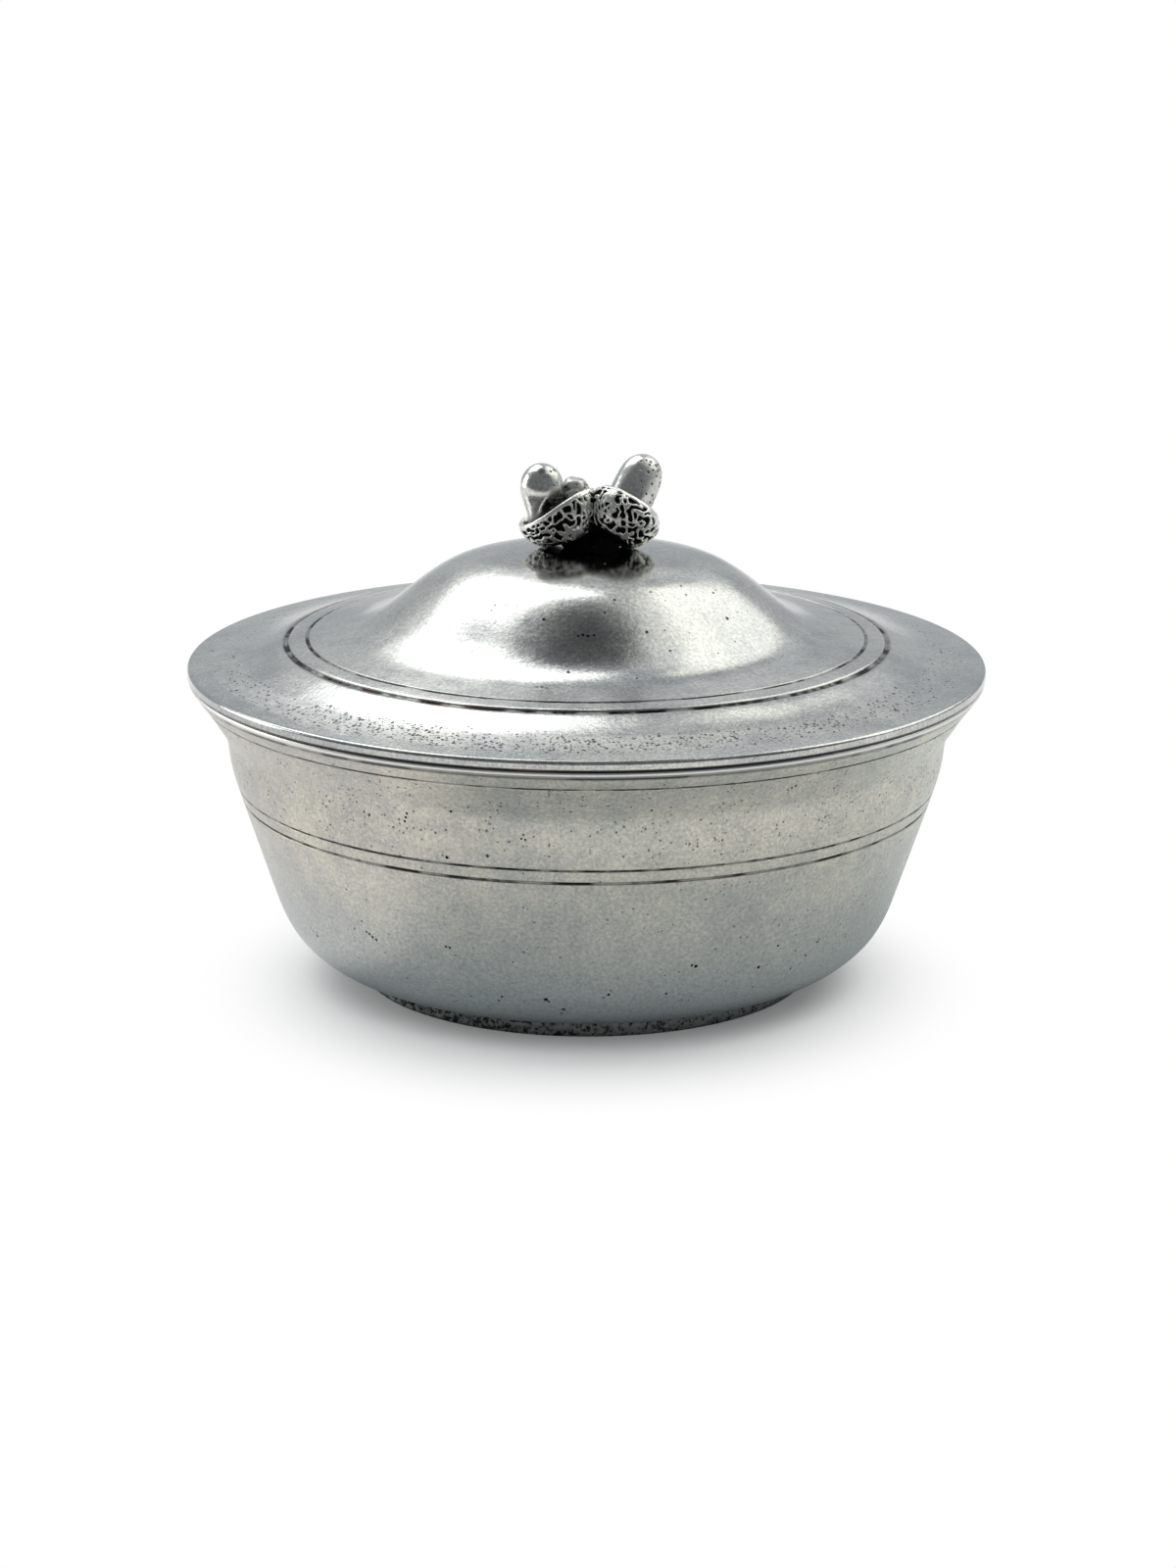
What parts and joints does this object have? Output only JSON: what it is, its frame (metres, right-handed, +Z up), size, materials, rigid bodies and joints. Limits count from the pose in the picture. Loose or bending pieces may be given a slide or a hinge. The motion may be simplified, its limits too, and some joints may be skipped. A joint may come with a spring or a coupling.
{
  "type": "covered bowl",
  "caption": "Round metal bowl on a low foot ring, with a domed lift-off lid, a wide flat brim and a handle shaped as a pair of acorns.",
  "frame": {"origin": "centre of the foot ring's resting face", "axes": "+Z up along the bowl's axis, -Y towards the front, +X to the right as seen from the front, where the taller acorn leans"},
  "size_m": [0.18, 0.18, 0.119],
  "materials": {
    "pewter": "satin",
    "pewter_dark": "rough cast",
    "pewter_oxidised": "oxidised",
    "pewter_polished": "polished",
    "fixing": "satin"
  },
  "bodies": {
    "bowl": {"bowl_body": "pewter", "foot_ring": "pewter_dark"},
    "lid": {"lid_shell": "pewter", "lid_bezel": "pewter", "finial_twig": "pewter_oxidised", "finial_washer": "fixing", "finial_cap_nut": "fixing", "acorn_cup_left": "pewter_oxidised", "acorn_cup_right": "pewter_oxidised", "acorn_nut_left": "pewter_polished", "acorn_nut_right": "pewter_polished"}
  },
  "joints": [
    {"name": "lid_lift", "type": "slide", "parent": "bowl", "child": "lid", "axis": [0, 0, 1], "range_m": [0, 0.1]}
  ]
}
